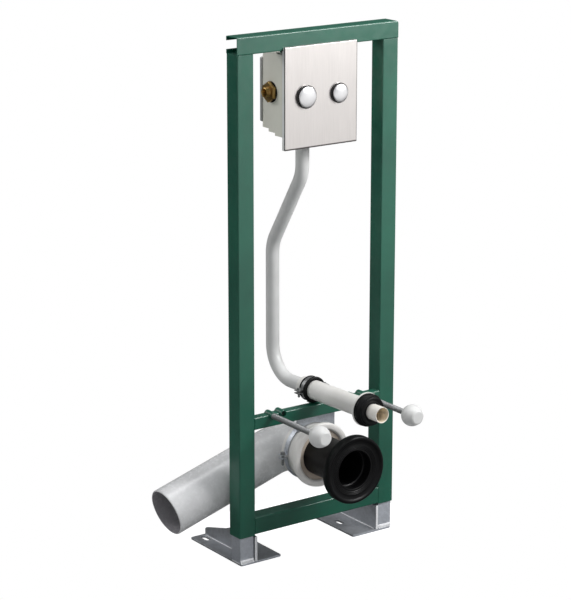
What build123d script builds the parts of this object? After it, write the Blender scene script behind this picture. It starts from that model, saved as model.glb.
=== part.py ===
from build123d import *
import math
import os

os.makedirs("parts", exist_ok=True)

# Support frame for a wall hung toilet, in millimetres.
# X runs across, Y runs back from the frame's front plane, Z runs up from the finished floor.
# The origin is the setting-out point: the centre line, at the front plane, on the floor.

# Frame of square tube and folded channel
frame_width = 390.0
frame_height = 1080.0
post_width = 38.0
post_depth = 38.0
post_wall = 2.0
post_corner = 2.5
post_bottom = 60.0
top_rail_height = 35.0
top_rail_slot = 17.0
top_rail_end_radius = 6.0
mid_rail_height = 26.0
mid_rail_flange = 18.0
mid_rail_wall = 2.0
mid_rail_bend = 3.0
bottom_rail_bottom = 62.0
bottom_rail_height = 36.0
bottom_rail_depth = 36.0

# Telescopic feet
foot_travel = 150.0
foot_engagement = 55.0
foot_clearance = 0.6
foot_wall = 2.5
plate_width = 100.0
plate_depth = 190.0
plate_thickness = 4.0
plate_corner = 5.0
plate_inset = 3.0
weld_leg = 8.0
gusset_thickness = 6.0
gusset_gap = 1.5
gusset_tail_height = 16.0
gusset_flat = 50.0
gusset_clear = 5.0
anchor_slot_length = 26.0
anchor_slot_width = 11.0
outer_slot_inset = 26.5
outer_slot_back = 167.0
inner_slot_inset = 79.5
inner_slot_back = 80.5

# Pan fixings: studs, their sleeves and the protective caps
stud_spacing = 230.0
sleeve_spacing = 180.0
stud_diameter = 12.0
stud_rise = 103.5
stud_reach = 160.0
stud_relief = 0.3
thread_clearance = 0.1
sleeve_diameter = 16.0
sleeve_proud = 5.0
sleeve_above_rail_bottom = 23.5
sleeve_chamfer = 0.8
cap_diameter = 44.0
cap_centre = 162.0
cap_back_diameter = 18.0
cap_nose = 20.0
cap_nose_diameter = 28.0
cap_shoulder = 9.0
cap_edge = 2.0

# Flush valve housing and its face plate
face_width = 176.0
face_over = 16.0
face_under = 25.0
face_front = -6.0
face_sheet = 1.5
face_return = 9.0
face_corner = 1.5
face_edge = 1.2
housing_clear = 1.5
housing_drop = 9.0
housing_height = 163.0
housing_depth = 74.0
housing_round = 12.0
housing_step_one_back = 32.0
housing_step_two_back = 53.5
housing_step_one_rise = 5.0
housing_step_two_rise = 6.0
cover_lip = 2.0
cover_thickness = 6.0
cover_inset_bottom = 21.5
cover_inset_top = 13.0
hanger_width = 26.0
hanger_wall = 2.5
hanger_spacing = 120.0
hanger_front = 6.0
hanger_depth = 26.0

# Push buttons
button_drop = 94.0
full_button_x = -37.5
half_button_x = 42.5
full_button_diameter = 42.0
half_button_diameter = 36.0
button_proud = 10.0
button_dome = 2.5
button_travel = 4.0
button_gap = 0.6
collar_wall = 1.6
collar_proud = 4.0

# Water inlet
inlet_depth = 45.0
inlet_drop = 86.5
inlet_thread_diameter = 21.0
inlet_bore = 16.0
inlet_reach = 16.0
inlet_nut_flats = 36.0
inlet_nut_thickness = 7.0
inlet_gasket_diameter = 42.0
inlet_gasket_thickness = 1.5

# Flush pipe and the straight line of connector, gland and nozzle, which falls a little towards the back
flush_rise = 139.5
flush_fall = 1.55
pipe_diameter = 28.0
pipe_wall = 2.5
pipe_fit = 0.3
pipe_top_back = 57.5
pipe_low_back = 162.0
pipe_upper_drop = 93.0
pipe_offset_drop = 163.0
pipe_offset_radius = 70.0
pipe_foot_radius = 66.0
pipe_socket_depth = 22.0
pipe_insertion = 45.0
nozzle_tip = -213.0
nozzle_diameter = 32.0
nozzle_wall = 1.6
nozzle_relief = 0.4
nozzle_reach = 30.0
nozzle_insertion = 50.0
gland_diameter = 68.0
gland_length = 21.0
gland_barrel = 10.0
gland_shoulder = 4.0
gland_front_diameter = 58.0
gland_edge = 2.0
nozzle_chamfer = 1.0
connector_diameter = 40.0
connector_length = 213.0
connector_flange_diameter = 66.0
connector_flange_thickness = 4.0
clip_centre = 23.0
clip_width = 18.0
clip_rubber = 3.0
clip_metal = 1.5
clip_lip = 2.0
clip_tab_width = 12.0
clip_band_width = 12.0
clip_ear_reach = 15.5
clip_ear_gap = 4.0
clip_screw_diameter = 5.0
clip_screw_length = 16.0
clip_seat_diameter = 10.0

# Drain: collar, bend, pipe, bracket and the pan's rubber cup
drain_height = 205.0
drain_diameter = 100.0
drain_chamfer = 1.2
drain_wall = 3.0
drain_bend_radius = 55.0
drain_fall = 16.9
drain_length = 321.0
collar_front = -15.0
collar_diameter = 136.0
collar_rim_depth = 12.0
collar_body_diameter = 122.0
collar_back = 45.0
collar_socket_diameter = 112.0
collar_socket_back = 30.0
seal_thickness = 3.0
seal_inset = 3.0
seal_depth = 12.0
seal_lip = 2.5
collar_edge = 4.5
collar_lead_in = 1.5
cup_front = -130.0
cup_diameter = 141.0
cup_bead = 5.0
cup_rim_depth = 20.0
cup_dish = 5.0
cup_bore = 80.0
cup_bore_depth = 28.0
cup_lip = 2.5
cup_ring_diameter = 94.0
cup_ring_depth = 8.0
cup_neck_diameter = 84.0
cup_neck_bore = 76.0
bracket_thickness = 3.0
bracket_left = 40.0
bracket_right = 55.0
bracket_gap = 0.4
bracket_drop = 36.0
band_width = 12.0
band_thickness = 1.5
strap_ear_reach = 14.0
strap_ear_gap = 6.0
strap_screw_diameter = 6.0
strap_screw_length = 24.0

# Values worked out from the sizes above
half_width = frame_width / 2
post_x = half_width - post_width / 2
top_rail_bottom = frame_height - top_rail_height
rail_span = frame_width - 2 * post_width
stud_height = drain_height + stud_rise
mid_rail_bottom = stud_height - sleeve_above_rail_bottom
mid_rail_top = mid_rail_bottom + mid_rail_height
housing_width = face_width - 2 * face_sheet - 2 * housing_clear
housing_top = top_rail_bottom - housing_drop
housing_bottom = housing_top - housing_height
button_height = top_rail_bottom - button_drop
inlet_height = top_rail_bottom - inlet_drop
fall_angle = math.radians(flush_fall)
flush_back = Vector(0, math.cos(fall_angle), -math.sin(fall_angle))
flush_tip = Vector(0, nozzle_tip, drain_height + flush_rise)


# Posts: square tube standing between the feet and the top rail
for side, name in ((-1, "left_post"), (1, "right_post")):
    with BuildPart() as post:
        with BuildSketch(Plane((side * post_x, post_depth / 2, post_bottom))):
            RectangleRounded(post_width, post_depth, post_corner)
            RectangleRounded(
                post_width - 2 * post_wall, post_depth - 2 * post_wall, post_corner / 3, mode=Mode.SUBTRACT
            )
        extrude(amount=top_rail_bottom - post_bottom)
    post.part.label = name
    export_step(post.part, f"parts/{name}.step")

# Top rail: lipped channel, open at the back, lying on both posts, its upper right corner rounded
rail_mid_z = top_rail_bottom + top_rail_height / 2
with BuildPart() as top_rail:
    with BuildSketch(Plane((-half_width, post_depth / 2, rail_mid_z), x_dir=(0, 1, 0), z_dir=(1, 0, 0))):
        RectangleRounded(post_depth, top_rail_height, post_corner)
        RectangleRounded(
            post_depth - 2 * post_wall, top_rail_height - 2 * post_wall, post_corner / 3, mode=Mode.SUBTRACT
        )
        with Locations((post_depth / 2, 0)):
            Rectangle(3 * post_wall, top_rail_slot, mode=Mode.SUBTRACT)
    extrude(amount=frame_width)
    with BuildSketch(Plane((half_width, 0, frame_height), x_dir=(1, 0, 0), z_dir=(0, -1, 0))):
        Rectangle(top_rail_end_radius, top_rail_end_radius, align=(Align.MAX, Align.MAX))
        with Locations((-top_rail_end_radius, -top_rail_end_radius)):
            Circle(top_rail_end_radius, mode=Mode.SUBTRACT)
    extrude(amount=-post_depth, mode=Mode.SUBTRACT)
top_rail.part.label = "top_rail"
export_step(top_rail.part, "parts/top_rail.step")

# Mid rail: channel that carries the pan studs, its flanges pointing back.
# The sleeves pass through it and break its upper flange, and a tab under the flush clip stands out behind.
mid_rail_z = mid_rail_bottom + mid_rail_height / 2
with BuildPart() as mid_rail:
    with BuildSketch(Plane((-rail_span / 2, 0, mid_rail_z), x_dir=(0, 1, 0), z_dir=(1, 0, 0))):
        with Locations((mid_rail_flange, 0)):
            RectangleRounded(2 * mid_rail_flange, mid_rail_height, mid_rail_bend)
            RectangleRounded(
                2 * (mid_rail_flange - mid_rail_wall),
                mid_rail_height - 2 * mid_rail_wall,
                mid_rail_bend - mid_rail_wall,
                mode=Mode.SUBTRACT,
            )
        with Locations((mid_rail_flange, 0)):
            Rectangle(
                2 * mid_rail_flange, 2 * mid_rail_height, align=(Align.MIN, Align.CENTER), mode=Mode.SUBTRACT
            )
    extrude(amount=rail_span)
    with BuildSketch(Plane((0, 0, stud_height), x_dir=(1, 0, 0), z_dir=(0, -1, 0))):
        for spacing in (stud_spacing, sleeve_spacing):
            with GridLocations(spacing, 0, 2, 1):
                Circle(sleeve_diameter / 2)
    extrude(amount=-mid_rail_flange, mode=Mode.SUBTRACT)
    with BuildSketch(Plane((0, mid_rail_bend, mid_rail_top))):
        Rectangle(
            clip_tab_width,
            clip_centre + clip_width / 2 - mid_rail_bend,
            align=(Align.CENTER, Align.MIN),
        )
    extrude(amount=-mid_rail_wall)
mid_rail.part.label = "mid_rail"
export_step(mid_rail.part, "parts/mid_rail.step")

# Bottom rail: square tube between the posts
bottom_rail_z = bottom_rail_bottom + bottom_rail_height / 2
with BuildPart() as bottom_rail:
    with BuildSketch(
        Plane((-rail_span / 2, bottom_rail_depth / 2, bottom_rail_z), x_dir=(0, 1, 0), z_dir=(1, 0, 0))
    ):
        RectangleRounded(bottom_rail_depth, bottom_rail_height, post_corner)
        RectangleRounded(
            bottom_rail_depth - 2 * post_wall,
            bottom_rail_height - 2 * post_wall,
            post_corner / 3,
            mode=Mode.SUBTRACT,
        )
    extrude(amount=rail_span)
bottom_rail.part.label = "bottom_rail"
export_step(bottom_rail.part, "parts/bottom_rail.step")

# Feet: an upright that slides in the post, on a slotted base plate with a gusset beside it
upright_width = post_width - 2 * post_wall - 2 * foot_clearance
upright_depth = post_depth - 2 * post_wall - 2 * foot_clearance
upright_top = post_bottom + foot_travel + foot_engagement
upright_front = post_depth / 2 - upright_depth / 2
gusset_top = bottom_rail_bottom - gusset_clear
for side, hand in ((-1, "left"), (1, "right")):
    with BuildPart() as base_plate:
        plate_x = side * (half_width - plate_inset - plate_width / 2)
        with BuildSketch(Plane((plate_x, plate_depth / 2, 0))):
            RectangleRounded(plate_width, plate_depth, plate_corner)
        extrude(amount=plate_thickness)
        for inset, back in ((outer_slot_inset, outer_slot_back), (inner_slot_inset, inner_slot_back)):
            with BuildSketch(Plane((side * (half_width - inset), back, 0), x_dir=(0, 1, 0))):
                SlotOverall(anchor_slot_length, anchor_slot_width)
            extrude(amount=plate_thickness, mode=Mode.SUBTRACT)
    base_plate.part.label = f"{hand}_base_plate"
    export_step(base_plate.part, f"parts/{hand}_base_plate.step")

    with BuildPart() as upright:
        with BuildSketch(Plane((side * post_x, post_depth / 2, plate_thickness))):
            RectangleRounded(upright_width, upright_depth, post_corner / 2)
            RectangleRounded(
                upright_width - 2 * foot_wall,
                upright_depth - 2 * foot_wall,
                post_corner / 4,
                mode=Mode.SUBTRACT,
            )
        extrude(amount=upright_top - plate_thickness)
        # Weld bead along the front of the upright's foot
        weld_plane = Plane(
            (side * post_x - upright_width / 2, upright_front, plate_thickness),
            x_dir=(0, -1, 0),
            z_dir=(1, 0, 0),
        )
        with BuildSketch(weld_plane):
            with BuildLine():
                Polyline((0, 0), (upright_front - 0.3, 0), (0, -weld_leg), close=True)
            make_face()
        extrude(amount=upright_width)
    upright.part.label = f"{hand}_foot_upright"
    export_step(upright.part, f"parts/{hand}_foot_upright.step")

    with BuildPart() as gusset:
        gusset_x = side * (post_x - upright_width / 2 - gusset_gap)
        with BuildSketch(Plane((gusset_x, 0, 0), x_dir=(0, 1, 0), z_dir=(1, 0, 0))):
            with BuildLine():
                Polyline(
                    (0, plate_thickness),
                    (plate_depth - plate_corner, plate_thickness),
                    (plate_depth - plate_corner, plate_thickness + gusset_tail_height),
                    (gusset_flat, gusset_top),
                    (0, gusset_top),
                    close=True,
                )
            make_face()
            fillet(vertices().group_by(Axis.X)[-1].sort_by(Axis.Y)[-1], radius=plate_corner)
        extrude(amount=-side * gusset_thickness)
    gusset.part.label = f"{hand}_foot_gusset"
    export_step(gusset.part, f"parts/{hand}_foot_gusset.step")

# Threaded sleeves through the mid rail, standing proud of its front
for spacing, place in ((stud_spacing, "outer"), (sleeve_spacing, "inner")):
    for side, hand in ((-1, "left"), (1, "right")):
        with BuildPart() as sleeve:
            with BuildSketch(
                Plane((side * spacing / 2, -sleeve_proud, stud_height), x_dir=(1, 0, 0), z_dir=(0, 1, 0))
            ):
                Circle(sleeve_diameter / 2)
                Circle(stud_diameter / 2 + thread_clearance, mode=Mode.SUBTRACT)
            extrude(amount=mid_rail_flange + sleeve_proud)
            chamfer(edges().group_by(Axis.Y)[0].sort_by(SortBy.LENGTH)[-1], length=sleeve_chamfer)
        sleeve.part.label = f"{hand}_{place}_sleeve"
        export_step(sleeve.part, f"parts/{hand}_{place}_sleeve.step")

# Pan studs and the white caps pushed onto them.
# A stud has its full diameter where it shows and is relieved inside the sleeve and the cap.
cap_radius = cap_diameter / 2
cap_back = -cap_centre + math.sqrt(cap_radius**2 - (cap_back_diameter / 2) ** 2)
stud_inner = stud_diameter / 2 - stud_relief
for side, hand in ((-1, "left"), (1, "right")):
    stud_x = side * stud_spacing / 2
    with BuildPart() as stud:
        with BuildSketch(Plane((stud_x, 0, stud_height))):
            with BuildLine():
                Polyline(
                    (0, mid_rail_flange),
                    (stud_inner, mid_rail_flange),
                    (stud_inner, -sleeve_proud - stud_relief),
                    (stud_diameter / 2, -sleeve_proud - stud_relief),
                    (stud_diameter / 2, cap_back + stud_relief),
                    (stud_inner, cap_back + stud_relief),
                    (stud_inner, -stud_reach),
                    (0, -stud_reach),
                    close=True,
                )
            make_face()
        revolve(axis=Axis((stud_x, 0, stud_height), (0, 1, 0)))
    stud.part.label = f"{hand}_stud"
    export_step(stud.part, f"parts/{hand}_stud.step")

    # The cap is a ball with a cone and a blunt nose at its front
    with BuildPart() as cap:
        bore = stud_diameter / 2 + thread_clearance
        back_angle = math.degrees(math.asin((cap_centre + cap_back) / cap_radius))
        shoulder_angle = math.degrees(math.asin(cap_shoulder / cap_radius))
        with BuildSketch(Plane((stud_x, 0, stud_height))):
            with BuildLine():
                ball = CenterArc((0, -cap_centre), cap_radius, -shoulder_angle, shoulder_angle + back_angle)
                Polyline(
                    ball @ 1,
                    (bore, cap_back),
                    (bore, -stud_reach - thread_clearance),
                    (0, -stud_reach - thread_clearance),
                    (0, -cap_centre - cap_nose),
                    (cap_nose_diameter / 2, -cap_centre - cap_nose),
                    ball @ 0,
                )
            make_face()
            chamfer(vertices().group_by(Axis.Y)[0].sort_by(Axis.X)[-1], length=cap_edge)
        revolve(axis=Axis((stud_x, 0, stud_height), (0, 1, 0)))
    cap.part.label = f"{hand}_stud_cap"
    export_step(cap.part, f"parts/{hand}_stud_cap.step")

# Valve housing: moulded box, stepped underneath, with a socket for the flush pipe
buttons = (
    ("full_flush", full_button_x, full_button_diameter),
    ("half_flush", half_button_x, half_button_diameter),
)
housing_front = face_front + face_sheet
button_back = housing_front + button_travel + button_proud
with BuildPart() as housing:
    with BuildSketch(Plane((-housing_width / 2, 0, 0), x_dir=(0, 1, 0), z_dir=(1, 0, 0))):
        step_one = housing_bottom + housing_step_one_rise
        step_two = step_one + housing_step_two_rise
        with BuildLine():
            Polyline(
                (housing_front, housing_bottom),
                (housing_step_one_back, housing_bottom),
                (housing_step_one_back, step_one),
                (housing_step_two_back, step_one),
                (housing_step_two_back, step_two),
                (housing_depth, step_two),
                (housing_depth, housing_top),
                (housing_front, housing_top),
                close=True,
            )
        make_face()
        fillet(vertices().group_by(Axis.X)[-1].sort_by(Axis.Y)[-1], radius=housing_round)
    extrude(amount=housing_width)
    with BuildSketch(Plane((0, pipe_top_back, housing_bottom))):
        Circle(pipe_diameter / 2 + pipe_fit)
    extrude(amount=step_two + pipe_socket_depth - housing_bottom, mode=Mode.SUBTRACT)
    for _, button_x, diameter in buttons:
        with BuildSketch(Plane((button_x, housing_front, button_height), x_dir=(1, 0, 0), z_dir=(0, 1, 0))):
            Circle(diameter / 2 + button_gap)
        extrude(amount=button_back - housing_front, mode=Mode.SUBTRACT)
housing.part.label = "valve_housing"
export_step(housing.part, "parts/valve_housing.step")

# Back cover of the housing
cover_bottom = housing_bottom + cover_inset_bottom
cover_top = housing_top - cover_inset_top
with BuildPart() as cover:
    with BuildSketch(
        Plane((0, housing_depth, (cover_bottom + cover_top) / 2), x_dir=(1, 0, 0), z_dir=(0, 1, 0))
    ):
        RectangleRounded(housing_width + 2 * cover_lip, cover_top - cover_bottom, 2 * face_corner)
    extrude(amount=cover_thickness)
cover.part.label = "housing_back_cover"
export_step(cover.part, "parts/housing_back_cover.step")

# Face plate: folded stainless sheet standing just in front of the top rail
face_height = housing_height + face_over + face_under
face_bottom = housing_bottom - face_under
with BuildPart() as face:
    with BuildSketch(
        Plane((0, face_front, face_bottom + face_height / 2), x_dir=(1, 0, 0), z_dir=(0, -1, 0))
    ):
        RectangleRounded(face_width, face_height, face_corner)
    extrude(amount=-face_return)
    fillet(faces().sort_by(Axis.Y)[0].edges(), radius=face_edge)
    with BuildSketch(
        Plane((0, face_front + face_sheet, face_bottom + face_height / 2), x_dir=(1, 0, 0), z_dir=(0, -1, 0))
    ):
        Rectangle(face_width - 2 * face_sheet, face_height - 2 * face_sheet)
    extrude(amount=-face_return, mode=Mode.SUBTRACT)
    with BuildSketch(Plane((0, -0.3, top_rail_bottom - 1.0), x_dir=(1, 0, 0), z_dir=(0, -1, 0))):
        Rectangle(frame_width, top_rail_height, align=(Align.CENTER, Align.MIN))
    extrude(amount=-face_return, mode=Mode.SUBTRACT)
    for _, button_x, diameter in buttons:
        with BuildSketch(Plane((button_x, face_front, button_height), x_dir=(1, 0, 0), z_dir=(0, -1, 0))):
            Circle(diameter / 2 + button_gap)
        extrude(amount=-face_sheet, mode=Mode.SUBTRACT)
face.part.label = "face_plate"
export_step(face.part, "parts/face_plate.step")

# Hangers between the top rail and the housing
with BuildPart() as hangers:
    for x in (-hanger_spacing / 2, hanger_spacing / 2):
        hanger_height = top_rail_bottom - housing_top
        hanger_corner = (x - hanger_width / 2, hanger_front, housing_top)
        with BuildSketch(Plane(hanger_corner, x_dir=(0, 1, 0), z_dir=(1, 0, 0))):
            Rectangle(hanger_depth, hanger_height, align=(Align.MIN, Align.MIN))
            with Locations((hanger_wall, hanger_wall)):
                Rectangle(
                    hanger_depth - 2 * hanger_wall,
                    hanger_height - 2 * hanger_wall,
                    align=(Align.MIN, Align.MIN),
                    mode=Mode.SUBTRACT,
                )
        extrude(amount=hanger_width)
hangers.part.label = "housing_hangers"
export_step(hangers.part, "parts/housing_hangers.step")

# Push buttons and the dark collars round them
for name, button_x, diameter in buttons:
    dome_radius = (diameter**2 / 4 + button_dome**2) / (2 * button_dome)
    dome_angle = math.degrees(math.asin(diameter / 2 / dome_radius))
    with BuildPart() as button:
        with BuildSketch(Plane((button_x, 0, button_height), x_dir=(1, 0, 0), z_dir=(0, 0, 1))):
            with BuildLine():
                front = face_front - button_proud
                back = button_back - button_travel - button_gap
                Line((0, back), (diameter / 2, back))
                Line((diameter / 2, back), (diameter / 2, front + button_dome))
                CenterArc((0, front + dome_radius), dome_radius, -90, dome_angle)
                Line((0, front), (0, back))
            make_face()
        revolve(axis=Axis((button_x, 0, button_height), (0, 1, 0)))
    button.part.label = f"{name}_button"
    export_step(button.part, f"parts/{name}_button.step")

    with BuildPart() as button_collar:
        with BuildSketch(Plane((button_x, face_front, button_height), x_dir=(1, 0, 0), z_dir=(0, -1, 0))):
            Circle(diameter / 2 + button_gap + collar_wall)
            Circle(diameter / 2 + button_gap, mode=Mode.SUBTRACT)
        extrude(amount=collar_proud)
    button_collar.part.label = f"{name}_collar"
    export_step(button_collar.part, f"parts/{name}_collar.step")

# Water inlet on the left side of the housing: rubber gasket, brass nut and threaded brass nipple
inlet_point = (-housing_width / 2, inlet_depth, inlet_height)
inlet_section = Plane(inlet_point, x_dir=(0, 1, 0), z_dir=(-1, 0, 0))
with BuildPart() as inlet_gasket:
    with BuildSketch(inlet_section):
        Circle(inlet_gasket_diameter / 2)
        Circle(inlet_thread_diameter / 2 + thread_clearance, mode=Mode.SUBTRACT)
    extrude(amount=inlet_gasket_thickness)
inlet_gasket.part.label = "inlet_gasket"
export_step(inlet_gasket.part, "parts/inlet_gasket.step")

inlet_seat = -housing_width / 2 - inlet_gasket_thickness
with BuildPart() as inlet_nut:
    with BuildSketch(Plane((inlet_seat, inlet_depth, inlet_height), x_dir=(0, 1, 0), z_dir=(-1, 0, 0))):
        RegularPolygon(inlet_nut_flats / math.sqrt(3), 6, rotation=30)
        Circle(inlet_thread_diameter / 2 + thread_clearance, mode=Mode.SUBTRACT)
    extrude(amount=inlet_nut_thickness)
inlet_nut.part.label = "inlet_nut"
export_step(inlet_nut.part, "parts/inlet_nut.step")

with BuildPart() as inlet:
    with BuildSketch(inlet_section):
        Circle(inlet_thread_diameter / 2)
        Circle(inlet_bore / 2, mode=Mode.SUBTRACT)
    extrude(amount=inlet_gasket_thickness + inlet_reach)
inlet.part.label = "inlet_nipple"
export_step(inlet.part, "parts/inlet_nipple.step")

# Flush pipe: down from the housing, back, down again and forward into the connector
pipe_top = step_two + pipe_socket_depth
upper_corner = housing_bottom - pipe_upper_drop
gland_back = nozzle_reach + gland_length
connector_end = gland_back + connector_length
pipe_end = flush_tip + flush_back * (connector_end - pipe_insertion)
foot_corner = flush_tip + flush_back * ((pipe_low_back - nozzle_tip) / math.cos(fall_angle))
with BuildPart() as flush_pipe:
    with BuildLine() as pipe_path:
        FilletPolyline(
            (0, pipe_top_back, pipe_top),
            (0, pipe_top_back, upper_corner),
            (0, pipe_low_back, upper_corner - pipe_offset_drop),
            foot_corner,
            pipe_end,
            radius=(pipe_offset_radius, pipe_offset_radius, pipe_foot_radius),
        )
    with BuildSketch(Plane((0, pipe_top_back, pipe_top), x_dir=(1, 0, 0), z_dir=(0, 0, -1))):
        Circle(pipe_diameter / 2)
        Circle(pipe_diameter / 2 - pipe_wall, mode=Mode.SUBTRACT)
    sweep(path=pipe_path.wires()[0])
flush_pipe.part.label = "flush_pipe"
export_step(flush_pipe.part, "parts/flush_pipe.step")

# Connector: straight tube with a flange at its front end.
# Along this line, lengths are measured back from the nozzle's tip.
flush_up = Vector(0, math.sin(fall_angle), math.cos(fall_angle))
flush_section = Plane(flush_tip, x_dir=(1, 0, 0), z_dir=flush_up)
flush_axis = Axis(flush_tip, flush_back)
with BuildPart() as connector:
    with BuildSketch(flush_section):
        with BuildLine():
            Polyline(
                (pipe_diameter / 2 + pipe_fit, connector_end),
                (connector_diameter / 2, connector_end),
                (connector_diameter / 2, gland_back + connector_flange_thickness),
                (connector_flange_diameter / 2, gland_back + connector_flange_thickness),
                (connector_flange_diameter / 2, gland_back),
                (nozzle_diameter / 2 + pipe_fit, gland_back),
                (nozzle_diameter / 2 + pipe_fit, gland_back + nozzle_insertion),
                (pipe_diameter / 2 + pipe_fit, gland_back + nozzle_insertion),
                close=True,
            )
        make_face()
    revolve(axis=flush_axis)
connector.part.label = "flush_connector"
export_step(connector.part, "parts/flush_connector.step")

# Nozzle that enters the pan, relieved inside its rubber gland
nozzle_inner = nozzle_diameter / 2 - nozzle_wall
with BuildPart() as nozzle:
    with BuildSketch(flush_section):
        with BuildLine():
            Polyline(
                (nozzle_inner + nozzle_chamfer, 0),
                (nozzle_diameter / 2, 0),
                (nozzle_diameter / 2, nozzle_reach - nozzle_relief),
                (nozzle_diameter / 2 - nozzle_relief, nozzle_reach - nozzle_relief),
                (nozzle_diameter / 2 - nozzle_relief, gland_back + nozzle_insertion - pipe_fit),
                (nozzle_inner, gland_back + nozzle_insertion - pipe_fit),
                (nozzle_inner, nozzle_chamfer),
                close=True,
            )
        make_face()
    revolve(axis=flush_axis)
nozzle.part.label = "flush_nozzle"
export_step(nozzle.part, "parts/flush_nozzle.step")

with BuildPart() as gland:
    with BuildSketch(flush_section):
        with BuildLine():
            Polyline(
                (nozzle_diameter / 2 + pipe_fit, gland_back),
                (gland_diameter / 2, gland_back),
                (gland_diameter / 2, gland_back - gland_barrel),
                (gland_front_diameter / 2, gland_back - gland_barrel - gland_shoulder),
                (gland_front_diameter / 2, nozzle_reach),
                (nozzle_diameter / 2 + pipe_fit, nozzle_reach),
                close=True,
            )
        make_face()
        gland_front = vertices().filter_by_position(Axis.Y, nozzle_reach - 1, gland_back - 1)
        chamfer(gland_front.sort_by(Axis.X)[1:], length=gland_edge)
    revolve(axis=flush_axis)
gland.part.label = "flush_gland"
export_step(gland.part, "parts/flush_gland.step")

# Rubber lined clip that holds the connector on the mid rail's tab
clip_inner = connector_diameter / 2
clip_outer = clip_inner + clip_rubber
band_outer = clip_outer + clip_metal
clip_start = (clip_centre - nozzle_tip) / math.cos(fall_angle) - clip_width / 2
clip_bead = (clip_width - clip_band_width) / 2
with BuildPart() as rubber:
    with BuildSketch(flush_section):
        with BuildLine():
            Polyline(
                (clip_inner, clip_start),
                (clip_outer + clip_lip, clip_start),
                (clip_outer + clip_lip, clip_start + clip_bead),
                (clip_outer, clip_start + clip_bead),
                (clip_outer, clip_start + clip_width - clip_bead),
                (clip_outer + clip_lip, clip_start + clip_width - clip_bead),
                (clip_outer + clip_lip, clip_start + clip_width),
                (clip_inner, clip_start + clip_width),
                close=True,
            )
        make_face()
    revolve(axis=flush_axis)
rubber.part.label = "clip_rubber"
export_step(rubber.part, "parts/clip_rubber.step")

# Each half of the metal band ends in two ears, and the lower half stands on a boss
clip_mid = clip_start + clip_width / 2
clip_origin = flush_tip + flush_back * clip_mid
ear_x = band_outer + clip_ear_reach / 2
with BuildPart() as clip:
    band_front = clip_origin - flush_back * (clip_band_width / 2)
    with BuildSketch(Plane(band_front, x_dir=(1, 0, 0), z_dir=flush_back)):
        Circle(band_outer)
        Rectangle(2 * (band_outer + clip_ear_reach), clip_ear_gap + 2 * clip_metal)
        Circle(clip_outer, mode=Mode.SUBTRACT)
        Rectangle(4 * band_outer, clip_ear_gap, mode=Mode.SUBTRACT)
    extrude(amount=clip_band_width)
    with BuildSketch(Plane((0, clip_origin.Y, mid_rail_top))):
        Circle(clip_seat_diameter / 2)
    extrude(amount=clip_origin.Z - clip_outer - mid_rail_top - clip_metal / 4)
    with BuildSketch(Plane(clip_origin, x_dir=(1, 0, 0), z_dir=flush_up)):
        with GridLocations(2 * ear_x, 0, 2, 1):
            Circle(clip_screw_diameter / 2 + thread_clearance)
    extrude(amount=clip_ear_gap + clip_metal, both=True, mode=Mode.SUBTRACT)
clip.part.label = "clip_band"
export_step(clip.part, "parts/clip_band.step")

with BuildPart() as clip_screws:
    ear_face = clip_ear_gap / 2 + clip_metal
    with BuildSketch(Plane(clip_origin + flush_up * ear_face, x_dir=(1, 0, 0), z_dir=flush_up)):
        with GridLocations(2 * ear_x, 0, 2, 1):
            Circle(clip_screw_diameter)
    extrude(amount=clip_screw_diameter * 0.7)
    with BuildSketch(Plane(clip_origin + flush_up * ear_face, x_dir=(1, 0, 0), z_dir=-flush_up)):
        with GridLocations(2 * ear_x, 0, 2, 1):
            Circle(clip_screw_diameter / 2)
    extrude(amount=clip_screw_length)
    with BuildSketch(Plane(clip_origin - flush_up * ear_face, x_dir=(1, 0, 0), z_dir=-flush_up)):
        with GridLocations(2 * ear_x, 0, 2, 1):
            RegularPolygon(clip_screw_diameter, 6)
    extrude(amount=clip_screw_diameter * 0.8)
clip_screws.part.label = "clip_screws"
export_step(clip_screws.part, "parts/clip_screws.step")

# Drain collar: socket ring with a thick rim that stands out in front of the frame
with BuildPart() as collar:
    with BuildSketch(Plane((0, 0, drain_height))):
        with BuildLine():
            Polyline(
                (collar_socket_diameter / 2 + collar_lead_in, collar_front),
                (collar_diameter / 2, collar_front),
                (collar_diameter / 2, collar_front + collar_rim_depth),
                (collar_body_diameter / 2, collar_front + collar_rim_depth),
                (collar_body_diameter / 2, collar_back),
                (drain_diameter / 2 - drain_wall, collar_back),
                (drain_diameter / 2 - drain_wall, collar_socket_back),
                (collar_socket_diameter / 2, collar_socket_back),
                (collar_socket_diameter / 2, collar_front + collar_lead_in),
                close=True,
            )
        make_face()
        fillet(vertices().group_by(Axis.X)[-1], radius=collar_edge)
    revolve(axis=Axis((0, 0, drain_height), (0, 1, 0)))
collar.part.label = "drain_collar"
export_step(collar.part, "parts/drain_collar.step")

# Lipped seal ring just inside the collar's mouth, closing on the cup's neck
seal_outer = collar_socket_diameter / 2
seal_inner = cup_neck_diameter / 2 + pipe_fit
seal_front = collar_front + seal_inset
seal_back = seal_front + seal_depth
with BuildPart() as seal:
    with BuildSketch(Plane((0, 0, drain_height))):
        with BuildLine():
            Polyline(
                (seal_outer, seal_front),
                (seal_outer, seal_back),
                (seal_outer - seal_thickness, seal_back),
                (seal_outer - 2 * seal_thickness, seal_front + 2 * seal_lip),
                (seal_inner, seal_front + 2 * seal_lip),
                (seal_inner, seal_front + seal_lip),
                (seal_outer - seal_thickness, seal_front),
                close=True,
            )
        make_face()
    revolve(axis=Axis((0, 0, drain_height), (0, 1, 0)))
seal.part.label = "drain_seal"
export_step(seal.part, "parts/drain_seal.step")

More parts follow.
